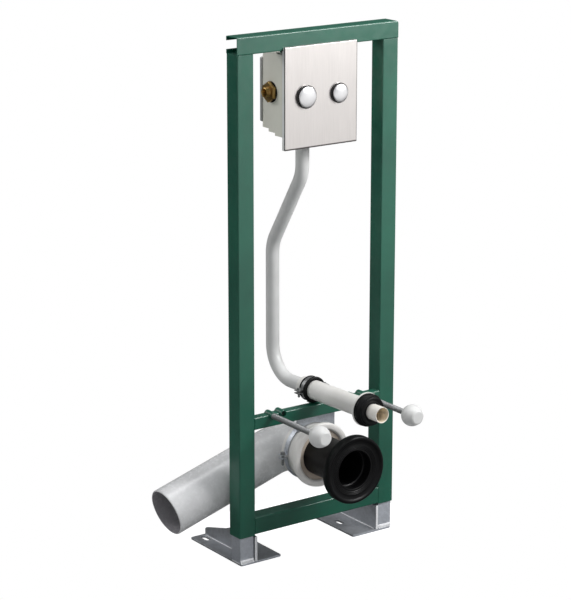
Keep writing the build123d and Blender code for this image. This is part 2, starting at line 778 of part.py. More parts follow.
# Drain bend: from behind the collar round to the left, falling with the pipe
fall = math.radians(drain_fall)
fall_dir = Vector(-math.cos(fall), 0, -math.sin(fall))
bend_corner = Vector(0, collar_back + drain_bend_radius, drain_height)
bend_end = bend_corner + fall_dir * drain_bend_radius
with BuildPart() as elbow:
    with BuildLine() as bend_path:
        ThreePointArc(
            Vector(0, collar_back, drain_height),
            bend_corner + (fall_dir - Vector(0, 1, 0)) * drain_bend_radius * (1 - math.sqrt(0.5)),
            bend_end,
        )
    with BuildSketch(Plane((0, collar_back, drain_height), x_dir=(1, 0, 0), z_dir=(0, 1, 0))):
        Circle(drain_diameter / 2)
        Circle(drain_diameter / 2 - drain_wall, mode=Mode.SUBTRACT)
    sweep(path=bend_path.wires()[0])
elbow.part.label = "drain_bend"
export_step(elbow.part, "parts/drain_bend.step")

# Drain pipe: straight, falling to the left, with an open end
with BuildPart() as drain_pipe:
    with BuildSketch(Plane(bend_end, x_dir=(0, 1, 0), z_dir=fall_dir)):
        Circle(drain_diameter / 2)
        Circle(drain_diameter / 2 - drain_wall, mode=Mode.SUBTRACT)
    extrude(amount=drain_length - drain_bend_radius)
    chamfer(faces().sort_by(Axis.X)[0].edges().sort_by(SortBy.LENGTH)[-1], length=drain_chamfer)
drain_pipe.part.label = "drain_pipe"
export_step(drain_pipe.part, "parts/drain_pipe.step")

# Pan cup: rubber connector with a beaded rim, a dished face round the bore and a ring on its neck
dish_back = cup_front + cup_dish
rim_back = cup_front + cup_rim_depth
with BuildPart() as cup:
    with BuildSketch(Plane((0, 0, drain_height))):
        with BuildLine():
            Polyline(
                (cup_bore / 2, dish_back),
                (cup_bore / 2 + cup_lip, dish_back),
                (cup_bore / 2 + 2 * cup_lip, dish_back + cup_lip),
                (cup_diameter / 2 - 2 * cup_bead, cup_front + cup_dish / 2),
                (cup_diameter / 2 - cup_bead, cup_front),
                (cup_diameter / 2, cup_front),
                (cup_diameter / 2, rim_back),
                (cup_ring_diameter / 2, rim_back),
                (cup_ring_diameter / 2, rim_back + cup_ring_depth),
                (cup_neck_diameter / 2, rim_back + cup_ring_depth),
                (cup_neck_diameter / 2, collar_socket_back),
                (cup_neck_bore / 2, collar_socket_back),
                (cup_neck_bore / 2, cup_front + cup_bore_depth),
                (cup_bore / 2, cup_front + cup_bore_depth),
                close=True,
            )
        make_face()
        fillet(vertices().group_by(Axis.X)[-1], radius=cup_bead * 0.9)
    revolve(axis=Axis((0, 0, drain_height), (0, 1, 0)))
cup.part.label = "pan_cup"
export_step(cup.part, "parts/pan_cup.step")

# Drain bracket: plate behind the mid rail, cut to an arc over the collar
bracket_radius = collar_body_diameter / 2 + bracket_gap
bracket_back = mid_rail_flange + bracket_thickness
with BuildPart() as bracket:
    bracket_top = mid_rail_top - mid_rail_wall
    with BuildSketch(Plane((0, mid_rail_flange, bracket_top), x_dir=(1, 0, 0), z_dir=(0, -1, 0))):
        with Locations(((bracket_right - bracket_left) / 2, 0)):
            Rectangle(
                bracket_left + bracket_right,
                bracket_top - mid_rail_bottom + bracket_drop,
                align=(Align.CENTER, Align.MAX),
            )
        with Locations((0, drain_height - bracket_top)):
            Circle(bracket_radius, mode=Mode.SUBTRACT)
    extrude(amount=-bracket_thickness)
bracket.part.label = "drain_bracket"
export_step(bracket.part, "parts/drain_bracket.step")

# Strap round the collar's body, drawn together by a screw through two ears at the left
strap_inner = collar_body_diameter / 2 + pipe_fit
strap_outer = strap_inner + band_thickness
strap_ear_x = -strap_outer - strap_ear_reach / 2
with BuildPart() as strap:
    with BuildSketch(Plane((0, bracket_back, drain_height), x_dir=(1, 0, 0), z_dir=(0, 1, 0))):
        Circle(strap_outer)
        Rectangle(
            strap_outer + strap_ear_reach,
            strap_ear_gap + 2 * band_thickness,
            align=(Align.MAX, Align.CENTER),
        )
        Circle(strap_inner, mode=Mode.SUBTRACT)
        Rectangle(2 * strap_outer, strap_ear_gap, align=(Align.MAX, Align.CENTER), mode=Mode.SUBTRACT)
    extrude(amount=band_width)
    with BuildSketch(Plane((strap_ear_x, bracket_back + band_width / 2, drain_height))):
        Circle(strap_screw_diameter / 2 + thread_clearance)
    extrude(amount=strap_ear_gap + band_thickness, both=True, mode=Mode.SUBTRACT)
strap.part.label = "drain_strap"
export_step(strap.part, "parts/drain_strap.step")

with BuildPart() as strap_screw:
    strap_face = strap_ear_gap / 2 + band_thickness
    strap_screw_y = bracket_back + band_width / 2
    with BuildSketch(Plane((strap_ear_x, strap_screw_y, drain_height + strap_face))):
        RegularPolygon(strap_screw_diameter * 0.9, 6)
    extrude(amount=strap_screw_diameter * 0.7)
    strap_top = (strap_ear_x, strap_screw_y, drain_height + strap_face)
    with BuildSketch(Plane(strap_top, x_dir=(1, 0, 0), z_dir=(0, 0, -1))):
        Circle(strap_screw_diameter / 2)
    extrude(amount=strap_screw_length)
    strap_bottom = (strap_ear_x, strap_screw_y, drain_height - strap_face)
    with BuildSketch(Plane(strap_bottom, x_dir=(1, 0, 0), z_dir=(0, 0, -1))):
        RegularPolygon(strap_screw_diameter * 0.9, 6)
    extrude(amount=strap_screw_diameter * 0.8)
strap_screw.part.label = "strap_screw"
export_step(strap_screw.part, "parts/strap_screw.step")
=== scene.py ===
# %% [markdown]
# # Support frame for a wall hung toilet
# A green steel frame stands on two galvanised feet. It carries the flushing valve in its housing, a white
# flush pipe, a drain bend with its open pipe, and the studs that the pan hangs on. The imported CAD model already
# has every solid in its place, so this lesson gives it finishes, light and the small forms that CAD leaves plain.

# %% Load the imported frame
import math

import bpy
import bmesh
from mathutils import Matrix, Vector


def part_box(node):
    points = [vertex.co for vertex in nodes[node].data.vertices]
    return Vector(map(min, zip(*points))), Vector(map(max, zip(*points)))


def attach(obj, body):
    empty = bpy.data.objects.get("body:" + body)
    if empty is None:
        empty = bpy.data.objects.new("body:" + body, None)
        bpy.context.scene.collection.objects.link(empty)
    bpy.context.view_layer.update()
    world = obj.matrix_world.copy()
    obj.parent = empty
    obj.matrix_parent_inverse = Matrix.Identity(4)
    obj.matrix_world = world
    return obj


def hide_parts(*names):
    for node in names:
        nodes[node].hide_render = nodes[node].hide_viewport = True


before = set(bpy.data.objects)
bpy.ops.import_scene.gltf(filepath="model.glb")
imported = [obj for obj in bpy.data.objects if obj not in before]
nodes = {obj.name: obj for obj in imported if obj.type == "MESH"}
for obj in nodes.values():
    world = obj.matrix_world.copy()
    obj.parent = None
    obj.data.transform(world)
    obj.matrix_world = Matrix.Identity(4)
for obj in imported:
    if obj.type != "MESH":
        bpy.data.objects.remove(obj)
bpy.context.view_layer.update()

# %% [markdown]
# ## Camera
# The photograph looks down on the frame from its front left, with a long lens. Its upright lines stay parallel,
# which a shifted lens would give, but a large shift spoils every other view. A camera that is tilted down a little
# from further away comes within a few pixels of it, so this one has no shift at all.

# %% Camera at the photograph's viewing angle
picture_long_side = 600
focal_pixels = 2286.3
heading = 0.6175
tilt = 0.2694
camera_place = (-2.6259, -3.5820, 1.7576)

camera_data = bpy.data.cameras.new("photo_camera")
camera_data.sensor_width = 36.0
camera_data.lens = focal_pixels / picture_long_side * camera_data.sensor_width
camera = bpy.data.objects.new("photo_camera", camera_data)
bpy.context.scene.collection.objects.link(camera)
gaze = Vector((math.sin(heading) * math.cos(tilt), math.cos(heading) * math.cos(tilt), -math.sin(tilt)))
camera.location = camera_place
camera.rotation_mode = "QUATERNION"
camera.rotation_quaternion = gaze.to_track_quat("-Z", "Y")
bpy.context.scene.camera = camera
bpy.context.scene.view_settings.view_transform = "Standard"
print("lens", round(camera_data.lens, 1), "mm")


# %% [markdown]
# ## Helpers for finishes
# Every finish is a Principled shader whose colour, roughness and relief come from patterns on the object's own
# coordinates, in metres. A few small helpers are enough: a grain, a tint between two colours, a relief, a fade
# along a value, and a second colour for one region.

# %% Finish helpers
def linear(red, green, blue):
    """A screen colour, 0 to 255, as the linear light that a socket takes."""
    parts = [c / 255 for c in (red, green, blue)]
    return tuple(c / 12.92 if c <= 0.04045 else ((c + 0.055) / 1.055) ** 2.4 for c in parts)


def grey(value):
    return (value, value, value)


def new_finish(name, roughness, metallic=0.0):
    """A Principled material, with its tree, its shader and the object's own coordinates."""
    finish = bpy.data.materials.new(name)
    finish.use_nodes = True
    tree = finish.node_tree
    shader = tree.nodes["Principled BSDF"]
    shader.inputs["Roughness"].default_value = roughness
    shader.inputs["Metallic"].default_value = metallic
    place = tree.nodes.new("ShaderNodeTexCoord").outputs["Object"]
    return finish, tree, shader, place


def grain(tree, place, scale, detail, stretch=(1, 1, 1)):
    """Noise with `scale` features a metre, squeezed along an axis by `stretch`."""
    mapping = tree.nodes.new("ShaderNodeMapping")
    mapping.inputs["Scale"].default_value = stretch
    noise = tree.nodes.new("ShaderNodeTexNoise")
    noise.inputs["Scale"].default_value = scale
    noise.inputs["Detail"].default_value = detail
    tree.links.new(place, mapping.inputs["Vector"])
    tree.links.new(mapping.outputs["Vector"], noise.inputs["Vector"])
    return noise.outputs["Fac"]


def tint(tree, pattern, target, dark, light, low=0.35, high=0.65):
    """Drives a socket with a blend of two colours, or of two greys that stand for values, by a pattern."""
    ramp = tree.nodes.new("ShaderNodeValToRGB")
    ramp.color_ramp.elements[0].position = low
    ramp.color_ramp.elements[1].position = high
    ramp.color_ramp.elements[0].color = (*dark, 1)
    ramp.color_ramp.elements[1].color = (*light, 1)
    tree.links.new(pattern, ramp.inputs["Fac"])
    tree.links.new(ramp.outputs["Color"], target)


def relief(tree, shader, pattern, depth, strength):
    """Adds a bump `depth` metres deep, on top of one that is already there."""
    bump = tree.nodes.new("ShaderNodeBump")
    bump.inputs["Distance"].default_value = depth
    bump.inputs["Strength"].default_value = strength
    tree.links.new(pattern, bump.inputs["Height"])
    below = shader.inputs["Normal"].links
    if below:
        tree.links.new(below[0].from_socket, bump.inputs["Normal"])
    tree.links.new(bump.outputs["Normal"], shader.inputs["Normal"])


def combine(tree, operation, first, second):
    """One value from two by a Math node. The second may be a plain number."""
    node = tree.nodes.new("ShaderNodeMath")
    node.operation = operation
    tree.links.new(first, node.inputs[0])
    if isinstance(second, (int, float)):
        node.inputs[1].default_value = second
    else:
        tree.links.new(second, node.inputs[1])
    return node.outputs["Value"]


def fade(tree, value, start, end, before=0.0, after=1.0):
    """`before` up to where a value is `start`, `after` from where it is `end`, and a straight run between."""
    ramp = tree.nodes.new("ShaderNodeMapRange")
    for name, number in (("From Min", start), ("From Max", end), ("To Min", before), ("To Max", after)):
        ramp.inputs[name].default_value = number
    tree.links.new(value, ramp.inputs["Value"])
    return ramp.outputs["Result"]


def repaint(tree, shader, mask, colour):
    """Gives the shader another colour where the mask is 1."""
    mix = tree.nodes.new("ShaderNodeMix")
    mix.data_type = "RGBA"
    tree.links.new(shader.inputs["Base Color"].links[0].from_socket, mix.inputs["A"])
    mix.inputs["B"].default_value = (*colour, 1)
    tree.links.new(mask, mix.inputs["Factor"])
    tree.links.new(mix.outputs["Result"], shader.inputs["Base Color"])


def inside_tube(tree, place, point, axis, radius):
    """1 within `radius` metres of a line and 0 outside, to tell a tube's inside from its outside."""
    tests = []
    for operation, other in (("SUBTRACT", point), ("CROSS_PRODUCT", axis), ("LENGTH", None)):
        step = tree.nodes.new("ShaderNodeVectorMath")
        step.operation = operation
        tree.links.new(tests[-1] if tests else place, step.inputs[0])
        if other:
            step.inputs[1].default_value = other
        tests.append(step.outputs["Value" if operation == "LENGTH" else "Vector"])
    return combine(tree, "LESS_THAN", tests[-1], radius)


def dress(finish, *names):
    """Gives a finish to CAD nodes."""
    for name in names:
        mesh = nodes[name].data
        mesh.materials.clear()
        mesh.materials.append(finish)


# %% [markdown]
# ## Green epoxy on the steel frame
# The tubes are powder coated: a satin film with a fine orange peel, and a colour that clouds very slightly.
# A bump with features of about a millimetre gives the peel, which shows only where the surface shines.

# %% Green epoxy
green_epoxy, tree, shader, place = new_finish("green_epoxy", 0.36)
tint(tree, grain(tree, place, 9, 4), shader.inputs["Base Color"], linear(9, 79, 61), linear(14, 89, 69))
tint(tree, grain(tree, place, 60, 2), shader.inputs["Roughness"], grey(0.32), grey(0.42))
relief(tree, shader, grain(tree, place, 700, 1), 0.00012, 0.5)
shader.inputs["Specular IOR Level"].default_value = 0.85
green_parts = ["top_rail", "left_post", "right_post", "mid_rail", "bottom_rail", "housing_hangers"]
green_parts += [f"{side}_{row}_sleeve" for side in ("left", "right") for row in ("outer", "inner")]
dress(green_epoxy, *green_parts)
print("green parts:", len(green_parts))


# %% [markdown]
# ## Galvanised steel
# Hot dip zinc freezes in flat crystals, the spangle, each a little lighter or darker than its neighbour, and it
# dulls to a cloudy grey. Voronoi cells a few millimetres wide give the spangle, and a large noise the clouds.

# %% Galvanised steel
def galvanised(name, dark, light, cell, metallic=0.85):
    """Zinc with `cell` crystals a metre along a line, between two colours."""
    finish, tree, shader, place = new_finish(name, 0.42, metallic)
    cells = tree.nodes.new("ShaderNodeTexVoronoi")
    cells.inputs["Scale"].default_value = cell
    tree.links.new(place, cells.inputs["Vector"])
    mix = tree.nodes.new("ShaderNodeMix")
    mix.inputs["Factor"].default_value = 0.6
    spangle = tree.nodes.new("ShaderNodeSeparateColor")
    tree.links.new(cells.outputs["Color"], spangle.inputs["Color"])
    tree.links.new(spangle.outputs["Red"], mix.inputs["A"])
    tree.links.new(grain(tree, place, 25, 5), mix.inputs["B"])
    tint(tree, mix.outputs["Result"], shader.inputs["Base Color"], dark, light, 0.2, 0.85)
    tint(tree, mix.outputs["Result"], shader.inputs["Roughness"], grey(0.36), grey(0.52))
    relief(tree, shader, grain(tree, place, 350, 3), 0.00006, 0.4)
    return finish


foot_zinc = galvanised("foot_zinc", linear(160, 162, 166), linear(184, 187, 192), 170, 0.7)
upright_zinc = galvanised("upright_zinc", linear(178, 182, 189), linear(198, 202, 210), 220, 0.4)
weld_zinc = galvanised("weld_zinc", linear(228, 229, 232), linear(249, 249, 250), 500, 0.15)
bracket_zinc = galvanised("bracket_zinc", linear(180, 185, 192), linear(214, 218, 226), 300)
bright_zinc = galvanised("bright_zinc", linear(128, 129, 129), linear(168, 169, 170), 420)
for side in ("left", "right"):
    dress(foot_zinc, f"{side}_base_plate", f"{side}_foot_gusset")
    dress(upright_zinc, f"{side}_foot_upright")
dress(bracket_zinc, "drain_bracket", "drain_strap")
dress(bright_zinc, "strap_screw", "clip_band", "clip_screws", "left_stud", "right_stud")


# %% [markdown]
# ## Moulded plastics
# The flush line, collar and caps are white, the drain pipe a little greyer, the housing a warm off-white and its
# cover grey. A moulded surface has a satin skin with a very fine tooth, so each gets the same grain at its own
# colour and gloss.

# %% Moulded plastics
def moulded(name, dark, light, roughness, tooth=0.00006, bore=None):
    """A moulded surface. `bore` is a point, an axis, a radius and the colour of a tube's inside."""
    finish, tree, shader, place = new_finish(name, roughness)
    tint(tree, grain(tree, place, 14, 4), shader.inputs["Base Color"], dark, light)
    shiny, dull = grey(roughness - 0.02), grey(roughness + 0.03)
    tint(tree, grain(tree, place, 120, 2), shader.inputs["Roughness"], shiny, dull)
    relief(tree, shader, grain(tree, place, 1400, 1), tooth, 0.4)
    if bore:
        point, axis, radius, colour = bore
        repaint(tree, shader, inside_tube(tree, place, point, axis, radius), colour)
    return finish


flush_tip = (0, -0.213, 0.3445)
flush_fall = math.radians(1.55)
flush_axis = (0, math.cos(flush_fall), -math.sin(flush_fall))
drain_point = (-0.17931, 0.1, 0.15052)
drain_way = (-0.95681, 0, -0.2907)
nozzle_bore = (flush_tip, flush_axis, 0.0149, linear(226, 213, 190))
# Painted shade: the drain pipe's inside is a darker grey than its outside.
drain_bore_shade = (drain_point, drain_way, 0.0478, linear(150, 148, 152))
white_moulding = moulded("white_moulding", linear(216, 214, 210), linear(228, 226, 223), 0.36)
nozzle_white = moulded("nozzle_white", linear(228, 224, 216), linear(238, 234, 228), 0.34, 0.00004, nozzle_bore)
cap_white = moulded("cap_white", linear(205, 205, 204), linear(214, 214, 213), 0.38)
bend_grey = moulded("bend_grey", linear(204, 204, 205), linear(220, 220, 221), 0.26, 0.00004)
pipe_grey = moulded("pipe_grey", linear(204, 204, 205), linear(220, 220, 221), 0.26, 0.00004, drain_bore_shade)
housing_grey = moulded("housing_grey", linear(228, 225, 214), linear(236, 233, 223), 0.5, 0.0001)
cover_grey = moulded("cover_grey", linear(150, 150, 148), linear(170, 170, 168), 0.55, 0.0001)
black_moulding = moulded("black_moulding", linear(14, 13, 15), linear(24, 23, 25), 0.4)
dress(white_moulding, "flush_connector", "drain_collar")
dress(nozzle_white, "flush_nozzle")
dress(cap_white, "flush_pipe", "left_stud_cap", "right_stud_cap")
dress(bend_grey, "drain_bend")
dress(pipe_grey, "drain_pipe")
dress(housing_grey, "valve_housing")
dress(cover_grey, "housing_back_cover")
dress(black_moulding, "full_flush_collar", "half_flush_collar")


# %% [markdown]
# ## Rubber
# The pan cup, the gland and the clip's lining are black rubber that mirrors little, and the seal in the collar is
# a brownish grey. The tooth of rubber is coarser than that of the plastics.

# %% Rubber
black_rubber = moulded("black_rubber", linear(7, 7, 8), linear(14, 14, 15), 0.4, 0.00012)
black_rubber.node_tree.nodes["Principled BSDF"].inputs["Specular IOR Level"].default_value = 0.2
seal_rubber = moulded("seal_rubber", linear(172, 158, 144), linear(200, 188, 174), 0.6, 0.00015)
dress(black_rubber, "pan_cup", "flush_gland", "clip_rubber", "inlet_gasket")
dress(seal_rubber, "drain_seal")

# %% [markdown]
# ## Brushed stainless, chrome and brass
# The face plate is brushed from top to bottom. A noise squeezed across the strokes and drawn out along them
# drives colour, roughness and a shallow bump together, which spreads the highlight sideways as real brushing does.
# Its rolled rim gets a dark band of painted shade, and its left return a white, barely metallic painted highlight.

# %% Metals
brushed_steel, tree, shader, place = new_finish("brushed_steel", 0.3, 1.0)
strokes = grain(tree, place, 40, 6, (40, 40, 0.6))
tint(tree, strokes, shader.inputs["Base Color"], linear(222, 217, 214), linear(230, 225, 222), 0.3, 0.7)
tint(tree, strokes, shader.inputs["Roughness"], grey(0.3), grey(0.38), 0.3, 0.7)
relief(tree, shader, strokes, 0.00002, 0.35)
low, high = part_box("face_plate")
spot = tree.nodes.new("ShaderNodeSeparateXYZ")
tree.links.new(place, spot.inputs[0])


def band(axis, edge, clear, full):
    """0 where a point is `clear` millimetres past one of the plate's edges, 1 where it is `full` past it."""
    return fade(tree, spot.outputs[axis], edge + clear / 1000, edge + full / 1000)


# Painted shade: a dark band along the front face's left, bottom, top and right edges.
rim = combine(tree, "MULTIPLY", band("X", low.x, 1.4, 0.6), band("Y", low.y, 2.2, 1.4))
bottom_rim_shade = band("Z", low.z, 3.6, 2.4)
top_rim_shade = band("Z", high.z, -1.2, -0.4)
right_rim_shade = band("X", high.x, -2.4, -1)
for line in (bottom_rim_shade, top_rim_shade, right_rim_shade):
    rim = combine(tree, "MAXIMUM", rim, line)
# Painted highlight: the left return is white and nearly loses its metal.
left_return_highlight = combine(tree, "MULTIPLY", band("X", low.x, 1.2, 0.6), band("Y", low.y, 1.6, 2.4))
repaint(tree, shader, rim, linear(92, 87, 86))
repaint(tree, shader, left_return_highlight, linear(238, 237, 236))
tint(tree, left_return_highlight, shader.inputs["Metallic"], grey(1), grey(0.1), 0, 1)
dress(brushed_steel, "face_plate")

chrome, tree, shader, place = new_finish("chrome", 0.3, 1.0)
tint(tree, grain(tree, place, 30, 3), shader.inputs["Base Color"], linear(238, 237, 238), linear(248, 247, 248))
tint(tree, grain(tree, place, 90, 3), shader.inputs["Roughness"], grey(0.3), grey(0.32))
dress(chrome, "full_flush_button", "half_flush_button")

brass, tree, shader, place = new_finish("brass", 0.34, 0.95)
brass_dark, brass_light = linear(158, 126, 72), linear(204, 172, 112)
tint(tree, grain(tree, place, 45, 5), shader.inputs["Base Color"], brass_dark, brass_light, 0.3, 0.7)
tint(tree, grain(tree, place, 120, 3), shader.inputs["Roughness"], grey(0.28), grey(0.46))
dress(brass, "inlet_nut", "inlet_nipple")


# %% [markdown]
# ## Helpers for new pieces
# Most small forms here are round: threads, caps, ribs. A bmesh profile spun round an axis makes them, and a bevel
# softens the loops that are left sharp, because no moulded or turned edge is perfectly sharp.

# %% Piece helpers
def finish_piece(shape, name, finish, body, stands_for=None, smooth_angle=35):
    """Writes a bmesh to an object at the origin that rides on a CAD body, and may stand for a node."""
    mesh = bpy.data.meshes.new(name)
    for face in shape.faces:
        face.smooth = True
    shape.to_mesh(mesh)
    shape.free()
    mesh.set_sharp_from_angle(angle=math.radians(smooth_angle))
    mesh.materials.append(finish)
    piece = bpy.data.objects.new(name, mesh)
    bpy.context.scene.collection.objects.link(piece)
    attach(piece, body)
    if stands_for:
        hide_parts(stands_for)
    print(f"{name}: {len(mesh.polygons)} faces")
    return piece


def box_mm(name):
    """A node's box in millimetres."""
    return [corner * 1000 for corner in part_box(name)]


def vertices(geometry):
    return [item for item in geometry if isinstance(item, bmesh.types.BMVert)]


def placed(centre, axis):
    """The matrix that turns Z along an axis and then moves the origin to a centre."""
    turn = Vector((0, 0, 1)).rotation_difference(Vector(axis)).to_matrix().to_4x4()
    return Matrix.Translation(centre) @ turn


def soften(shape, width, segments=2, angle=30):
    """Bevels every edge sharper than `angle` degrees, by a width in metres."""
    sharp = [e for e in shape.edges if len(e.link_faces) == 2 and e.calc_face_angle() > math.radians(angle)]
    bmesh.ops.bevel(
        shape,
        geom=sharp,
        offset=width,
        segments=segments,
        profile=0.5,
        affect="EDGES",
        material=-1,
        clamp_overlap=True,
    )


def lathe(profile, centre, axis, steps=96, closed=True):
    """Spins a profile of (radius, distance along the axis) points, in millimetres, round a centre in metres."""
    shape = bmesh.new()
    points = [shape.verts.new((radius / 1000, 0, along / 1000)) for radius, along in profile]
    pairs = list(zip(points, points[1:])) + ([(points[-1], points[0])] if closed else [])
    line = [shape.edges.new(pair) for pair in pairs]
    bmesh.ops.spin(
        shape, geom=points + line, cent=(0, 0, 0), axis=(0, 0, 1), angle=math.tau, steps=steps, use_merge=True
    )
    bmesh.ops.remove_doubles(shape, verts=shape.verts, dist=1e-6)
    bmesh.ops.recalc_face_normals(shape, faces=shape.faces)
    bmesh.ops.transform(shape, matrix=placed(centre, axis), verts=shape.verts)
    return shape


# %% [markdown]
# ## Softened edges
# Rolled tube and cut plate never have knife edges. The CAD solids do, so the parts whose edges catch the light get a
# copy of their mesh, merged and given a small bevel, which stands for the node. A weighted normal keeps the broad
# faces flat, so only the bevels turn the light. The feet's plates and gussets get a lighter zinc on the faces that
# turn to the front, a painted highlight, and the weld's slope gets the weld's white zinc.

# %% Rounded copies of the steel parts
def rounded_copy(node, width, finish, body, light=None):
    """A copy of a node, bevelled by millimetres. `light` is a second finish and a test of the normals it gets."""
    shape = bmesh.new()
    shape.from_mesh(nodes[node].data)
    bmesh.ops.remove_doubles(shape, verts=shape.verts, dist=1e-6)
    bmesh.ops.dissolve_limit(shape, angle_limit=math.radians(0.5), verts=shape.verts, edges=shape.edges)
    soften(shape, width / 1000, 3)
    for face in shape.faces:
        face.material_index = int(light is not None and light[1](face.normal))
    piece = finish_piece(shape, f"{node}_rounded", finish, body, node, 40)
    if light:
        piece.data.materials.append(light[0])
    flatten = piece.modifiers.new("flatten", "WEIGHTED_NORMAL")
    flatten.keep_sharp = True


for node in ("top_rail", "left_post", "right_post", "mid_rail", "bottom_rail"):
    rounded_copy(node, 0.9, green_epoxy, "frame")
# Painted highlight: faces of the base plates and gussets turned to the front get a lighter zinc than the rest.
plate_front_highlight = (upright_zinc, lambda normal: normal.y < -0.7)
gusset_front_highlight = (weld_zinc, lambda normal: normal.y < -0.7)
weld_slope = (weld_zinc, lambda normal: normal.y < -0.5 and normal.z > 0.15)
for side in ("left", "right"):
    foot = f"{side}_foot"
    rounded_copy(f"{side}_base_plate", 0.8, foot_zinc, foot, plate_front_highlight)
    rounded_copy(f"{side}_foot_gusset", 0.8, foot_zinc, foot, gusset_front_highlight)
    rounded_copy(f"{side}_foot_upright", 0.6, upright_zinc, foot, weld_slope)
rounded_copy("drain_bracket", 0.5, bracket_zinc, "frame")
rounded_copy("inlet_nut", 0.8, brass, "frame")

# %% [markdown]
# ## Weld beads
# The frame's rails, the feet's uprights and their gussets are welded. A bead freezes in ripples behind the torch, so
# a small ring is extruded along the seam in short steps, a little wider and a little narrower in turn.

# %% Weld beads
bead_start = 0.55
bead_swell = 1.45
bead_ripple = 0.88
bead_end = 0.6


def weld_bead(start, end, radius, ripple=1.6, tall=1.0):
    """A rippled bead between two points, all in millimetres, drawn upwards where it is tall."""
    start, end = Vector(start) / 1000, Vector(end) / 1000
    run = end - start
    count = max(3, round(run.length * 1000 / ripple)) * 2
    shape = bmesh.new()
    first = bmesh.ops.create_circle(
        shape, cap_ends=False, segments=10, radius=radius * bead_start / 1000, matrix=placed(start, run)
    )
    ring = list({edge for vert in first["verts"] for edge in vert.link_edges})
    for step in range(count):
        grown = bmesh.ops.extrude_edge_only(shape, edges=ring)["geom"]
        corners = vertices(grown)
        ring = [e for e in shape.edges if e.is_boundary and all(v in corners for v in e.verts)]
        bmesh.ops.translate(shape, verts=corners, vec=run / count)
        centre = start + run * (step + 1) / count
        wide = bead_swell if step == 0 else (bead_ripple if step % 2 else 1 / bead_ripple)
        wide = bead_end if step == count - 1 else wide
        bmesh.ops.scale(shape, verts=corners, vec=(wide, wide, wide), space=Matrix.Translation(-centre))
    bmesh.ops.holes_fill(shape, edges=[e for e in shape.edges if e.is_boundary], sides=0)
    bmesh.ops.scale(shape, verts=shape.verts, vec=(1, 1, tall), space=Matrix.Translation(-start))
    bmesh.ops.recalc_face_normals(shape, faces=shape.faces)
    return shape


def join(shapes):
    """One bmesh from several."""
    whole = bmesh.new()
    for shape in shapes:
        mesh = bpy.data.meshes.new("part")
        shape.to_mesh(mesh)
        shape.free()
        whole.from_mesh(mesh)
        bpy.data.meshes.remove(mesh)
    return whole


for side in ("left", "right"):
    low, high = box_mm(f"{side}_foot_upright")
    gusset_low, gusset_high = box_mm(f"{side}_foot_gusset")
    plate_top = box_mm(f"{side}_base_plate")[1].z
    front_y, front_z = 1.9, plate_top + 3.4
    seams = [weld_bead((low.x + 3, front_y, front_z), (high.x - 1, front_y, front_z), 2.3, 2.2, 2.3)]
    for x in (low.x + 0.6, high.x - 0.6):
        seams.append(weld_bead((x, low.y + 5, plate_top + 0.6), (x, high.y - 3, plate_top + 0.6), 2.2))
    for x in (gusset_low.x, gusset_high.x):
        seams.append(weld_bead((x, gusset_low.y + 6, plate_top), (x, gusset_high.y - 3, plate_top), 1.9))
    finish_piece(join(seams), f"{side}_foot_welds", weld_zinc, f"{side}_foot")

rail_seams = []
for node in ("bottom_rail", "mid_rail"):
    low, high = box_mm(node)
    for x in (low.x, high.x):
        rail_seams.append(weld_bead((x, high.y, low.z + 2), (x, high.y, high.z - 2), 1.6))
        rail_seams.append(weld_bead((x, low.y + 3, low.z), (x, high.y - 3, low.z), 1.3))
finish_piece(join(rail_seams), "frame_welds", green_epoxy, "frame")

# %% [markdown]
# ## Threads
# A thread is one tooth's profile that climbs one pitch for each turn. Spin makes one turn when it is given a step
# along its axis, and the rest are copies of it, each a pitch further on. The thread lies round a turned core, whose
# ends are chamfered.

# %% Thread helper
thread_steps = 28


def threaded(core, radius, depth, pitch, start, turns, centre, axis, closed=False):
    """A turned core with a thread round it. Its sizes are in millimetres, its centre in metres."""
    shape = bmesh.new()
    tooth = [(radius - depth, 0), (radius, pitch * 0.43), (radius, pitch * 0.57), (radius - depth, pitch)]
    points = [shape.verts.new((across / 1000, 0, (start + along) / 1000)) for across, along in tooth]
    line = [shape.edges.new(pair) for pair in zip(points, points[1:])]
    bmesh.ops.spin(
        shape,
        geom=points + line,
        cent=(0, 0, 0),
        axis=(0, 0, 1),
        dvec=(0, 0, pitch / 1000 / thread_steps),
        angle=math.tau,
        steps=thread_steps,
    )
    one_turn = shape.verts[:] + shape.edges[:] + shape.faces[:]
    for turn in range(1, turns):
        copy = bmesh.ops.duplicate(shape, geom=one_turn)["geom"]
        bmesh.ops.translate(shape, verts=vertices(copy), vec=(0, 0, pitch / 1000 * turn))
    bmesh.ops.remove_doubles(shape, verts=shape.verts, dist=1e-6)
    for rise in (0, turns * pitch):
        tips = [Vector((across / 1000, 0, (start + along + rise) / 1000)) for across, along in tooth]
        ends = [min(shape.verts, key=lambda vert: (vert.co - tip).length) for tip in tips]
        if len(set(ends)) == 4:
            shape.faces.new(ends)
    bmesh.ops.transform(shape, matrix=placed(centre, axis), verts=shape.verts)
    bmesh.ops.recalc_face_normals(shape, faces=shape.faces)
    return join([lathe(core, centre, axis, steps=48, closed=closed), shape])


# %% Threaded studs
stud_pitch = 1.75
for side in ("left", "right"):
    low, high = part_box(f"{side}_stud")
    middle = (low + high) / 2
    radius = (high.x - low.x) * 500
    length = (high.y - low.y) * 1000
    core = [(0, 0.1), (radius * 0.72, 0.1), (radius * 0.87, 1.1), (radius * 0.87, length - 1.1)]
    core += [(radius * 0.72, length - 0.1), (0, length - 0.1)]
    turns = int((length - 3) / stud_pitch) - 1
    stud_start = (middle.x, low.y, middle.z)
    stud = threaded(core, radius, radius * 0.13, stud_pitch, 1.2, turns, stud_start, (0, 1, 0))
    finish_piece(stud, f"{side}_threaded_stud", bright_zinc, "frame", f"{side}_stud", 60)

# %% [markdown]
# ## Threaded inlet nipple
# The water comes in through a half inch brass nipple. Its thread has fourteen turns to the inch, a plain ring behind
# it and a bore with a small chamfer. All of it looks dark brown in the photograph.

